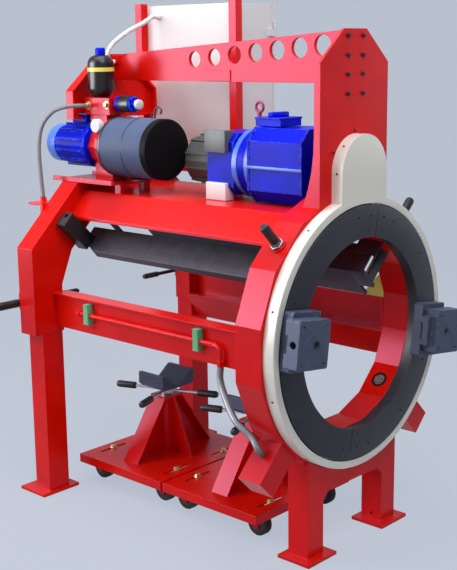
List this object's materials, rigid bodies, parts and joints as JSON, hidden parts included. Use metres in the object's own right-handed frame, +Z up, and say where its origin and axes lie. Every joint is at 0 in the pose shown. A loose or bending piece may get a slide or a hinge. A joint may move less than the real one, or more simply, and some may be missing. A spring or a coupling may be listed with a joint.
{
  "type": "ring-head pipe machine",
  "caption": "Floor-standing pipe machine with a geared tool ring, clamping shoes, rear arch, gearmotor, oil power pack, electrical cabinet and pipe trolleys.",
  "frame": {"origin": "on the floor, under the middle of the machine's bounding box without its free hoses", "axes": "+Z up, +Y from the tool ring towards the rear arch, +X to the right when the tool ring is seen from the front"},
  "size_m": [1.28, 1.6846, 2.105],
  "materials": {
    "red_paint": "glossy saturated red enamel",
    "cream_paint": "cream enamel",
    "black_steel": "satin dark grey blackened steel",
    "tool_steel": "dark blue-grey machined tool steel",
    "shoe_plate": "matt dark grey lined plate",
    "blue_paint": "glossy blue enamel",
    "tank_paint": "slate grey-blue tank with black end",
    "white_paint": "white powder coat",
    "bare_steel": "bright machined steel",
    "black_plastic": "black moulded grip",
    "black_shell": "black enamel bottle",
    "wheel": "dark solid wheels on a steel axle",
    "green_plastic": "green moulded pipe clamp",
    "grey_hose": "dark grey hose",
    "white_conduit": "pale grey flexible conduit"
  },
  "bodies": {
    "frame": {"rear_frame": "red_paint", "front_stand": "red_paint", "ring_housing": "red_paint", "column_plate": "red_paint", "arch_bar": "red_paint", "rear_column": "red_paint", "main_beam": "red_paint", "rail_left": "red_paint", "rail_right": "red_paint", "lower_cylinder_left": "red_paint", "lower_cylinder_right": "red_paint", "pump_tray": "red_paint", "manifold_block": "red_paint", "cabinet_frame": "red_paint", "oil_pipe": "red_paint", "ring_cover": "cream_paint", "motor_cowl": "black_steel", "gear_unit": "blue_paint", "drive_motor": "blue_paint", "terminal_box": "blue_paint", "pump_motor": "blue_paint", "valve": "blue_paint", "oil_tank": "tank_paint", "cabinet_body": "white_paint", "bearing_race": "bare_steel", "shoe_guide_left": "black_plastic", "shoe_guide_right": "black_plastic", "accumulator": "black_shell", "pipe_clamp_rear": "green_plastic", "pipe_clamp_front": "green_plastic", "hose_lower": "grey_hose", "hose_rear": "grey_hose", "conduit": "white_conduit"},
    "tool_ring": {"rotary_ring": "black_steel", "ring_gear": "bare_steel", "tool_saddle_left": "tool_steel", "tool_saddle_right": "tool_steel"},
    "pinion": {"drive_pinion": "bare_steel"},
    "feed_left": {"tool_slide_left": "tool_steel"},
    "feed_right": {"tool_slide_right": "tool_steel"},
    "shoe_left": {"clamp_shoe_left": "shoe_plate"},
    "shoe_right": {"clamp_shoe_right": "shoe_plate"},
    "screw_left": {"front_spindle_left": "black_plastic"},
    "screw_right": {"front_spindle_right": "black_plastic"},
    "rear_screw_left": {"rear_spindle_left": "black_plastic"},
    "rear_screw_right": {"rear_spindle_right": "black_plastic"},
    "ram_left": {"lower_rod_left": "bare_steel"},
    "ram_right": {"lower_rod_right": "bare_steel"},
    "door": {"cabinet_door": "white_paint"},
    "latch": {"door_handle": "black_plastic"},
    "trolley_rear": {"deck_rear": "red_paint"},
    "wheelset_rear_a": {"wheels_rear_a": "wheel"},
    "wheelset_rear_b": {"wheels_rear_b": "wheel"},
    "lift_rear": {"saddle_rear": "tool_steel"},
    "nut_rear": {"capstan_rear": "bare_steel"},
    "trolley_front": {"deck_front": "red_paint"},
    "wheelset_front_a": {"wheels_front_a": "wheel"},
    "wheelset_front_b": {"wheels_front_b": "wheel"},
    "lift_front": {"saddle_front": "tool_steel"},
    "nut_front": {"capstan_front": "bare_steel"}
  },
  "joints": [
    {"name": "ring_spin", "type": "hinge", "parent": "frame", "child": "tool_ring", "pos_m": [0, -0.73, 0.845], "axis": [0, 1, 0], "continuous": true},
    {"name": "pinion_spin", "type": "hinge", "parent": "frame", "child": "pinion", "pos_m": [0, -0.706, 1.457], "axis": [0, 1, 0], "continuous": true},
    {"name": "tool_feed_left", "type": "slide", "parent": "tool_ring", "child": "feed_left", "axis": [0.9907, 0, -0.1362], "range_m": [-0.03, 0.08]},
    {"name": "tool_feed_right", "type": "slide", "parent": "tool_ring", "child": "feed_right", "axis": [-0.9907, 0, 0.1362], "range_m": [-0.03, 0.08]},
    {"name": "shoe_slide_left", "type": "slide", "parent": "frame", "child": "shoe_left", "axis": [0.7071, 0, -0.7071], "range_m": [0, 0.12]},
    {"name": "screw_spin_left", "type": "hinge", "parent": "frame", "child": "screw_left", "pos_m": [-0.35355, -0.634, 1.19855], "axis": [0.7071, 0, -0.7071], "range_deg": [0, 1440]},
    {"name": "shoe_slide_right", "type": "slide", "parent": "frame", "child": "shoe_right", "axis": [-0.7071, 0, -0.7071], "range_m": [-0.06, 0.01]},
    {"name": "screw_spin_right", "type": "hinge", "parent": "frame", "child": "screw_right", "pos_m": [0.35355, -0.634, 1.19855], "axis": [-0.7071, 0, -0.7071], "range_deg": [-720, 120]},
    {"name": "rear_screw_slide_left", "type": "slide", "parent": "frame", "child": "rear_screw_left", "axis": [-1, 0, 0], "range_m": [0, 0.12]},
    {"name": "rear_screw_slide_right", "type": "slide", "parent": "frame", "child": "rear_screw_right", "axis": [1, 0, 0], "range_m": [0, 0.12]},
    {"name": "ram_slide_left", "type": "slide", "parent": "frame", "child": "ram_left", "axis": [0.7071, 0, 0.7071], "range_m": [0, 0.14]},
    {"name": "ram_slide_right", "type": "slide", "parent": "frame", "child": "ram_right", "axis": [-0.7071, 0, 0.7071], "range_m": [0, 0.14]},
    {"name": "door_swing", "type": "hinge", "parent": "frame", "child": "door", "pos_m": [0.4823, 0.108, 1.7285], "axis": [0, 0, -1], "range_deg": [0, 110]},
    {"name": "latch_turn", "type": "hinge", "parent": "door", "child": "latch", "pos_m": [0.495, 0.67, 1.72], "axis": [-1, 0, 0], "range_deg": [0, 90]},
    {"name": "trolley_roll_rear", "type": "slide", "parent": "frame", "child": "trolley_rear", "axis": [0, 1, 0], "range_m": [0, 0.6]},
    {"name": "wheel_spin_rear_a", "type": "hinge", "parent": "trolley_rear", "child": "wheelset_rear_a", "pos_m": [0, 0.145, 0.0504], "axis": [-1, 0, 0], "continuous": true},
    {"name": "wheel_spin_rear_b", "type": "hinge", "parent": "trolley_rear", "child": "wheelset_rear_b", "pos_m": [0, 0.545, 0.0504], "axis": [-1, 0, 0], "continuous": true},
    {"name": "saddle_lift_rear", "type": "slide", "parent": "trolley_rear", "child": "lift_rear", "axis": [0, 0, 1], "range_m": [0, 0.1]},
    {"name": "capstan_turn_rear", "type": "hinge", "parent": "trolley_rear", "child": "nut_rear", "pos_m": [0, 0.345, 0.407], "axis": [0, 0, 1], "range_deg": [0, 1440]},
    {"name": "trolley_roll_front", "type": "slide", "parent": "frame", "child": "trolley_front", "axis": [0, 1, 0], "range_m": [-0.1, 0]},
    {"name": "wheel_spin_front_a", "type": "hinge", "parent": "trolley_front", "child": "wheelset_front_a", "pos_m": [0, -0.392, 0.0504], "axis": [-1, 0, 0], "continuous": true},
    {"name": "wheel_spin_front_b", "type": "hinge", "parent": "trolley_front", "child": "wheelset_front_b", "pos_m": [0, 0.008, 0.0504], "axis": [-1, 0, 0], "continuous": true},
    {"name": "saddle_lift_front", "type": "slide", "parent": "trolley_front", "child": "lift_front", "axis": [0, 0, 1], "range_m": [0, 0.1]},
    {"name": "capstan_turn_front", "type": "hinge", "parent": "trolley_front", "child": "nut_front", "pos_m": [0, -0.192, 0.407], "axis": [0, 0, 1], "range_deg": [0, 1440]}
  ],
  "couplings": [
    {"joint": "pinion_spin", "follows": "ring_spin", "ratio": -4.3684},
    {"joint": "screw_spin_left", "follows": "shoe_slide_left", "rad_per_m": 209.44},
    {"joint": "screw_spin_right", "follows": "shoe_slide_right", "rad_per_m": 209.44},
    {"joint": "wheel_spin_rear_a", "follows": "trolley_roll_rear", "rad_per_m": 20},
    {"joint": "wheel_spin_rear_b", "follows": "trolley_roll_rear", "rad_per_m": 20},
    {"joint": "capstan_turn_rear", "follows": "saddle_lift_rear", "rad_per_m": 251.3},
    {"joint": "wheel_spin_front_a", "follows": "trolley_roll_front", "rad_per_m": 20},
    {"joint": "wheel_spin_front_b", "follows": "trolley_roll_front", "rad_per_m": 20},
    {"joint": "capstan_turn_front", "follows": "saddle_lift_front", "rad_per_m": 251.3}
  ]
}
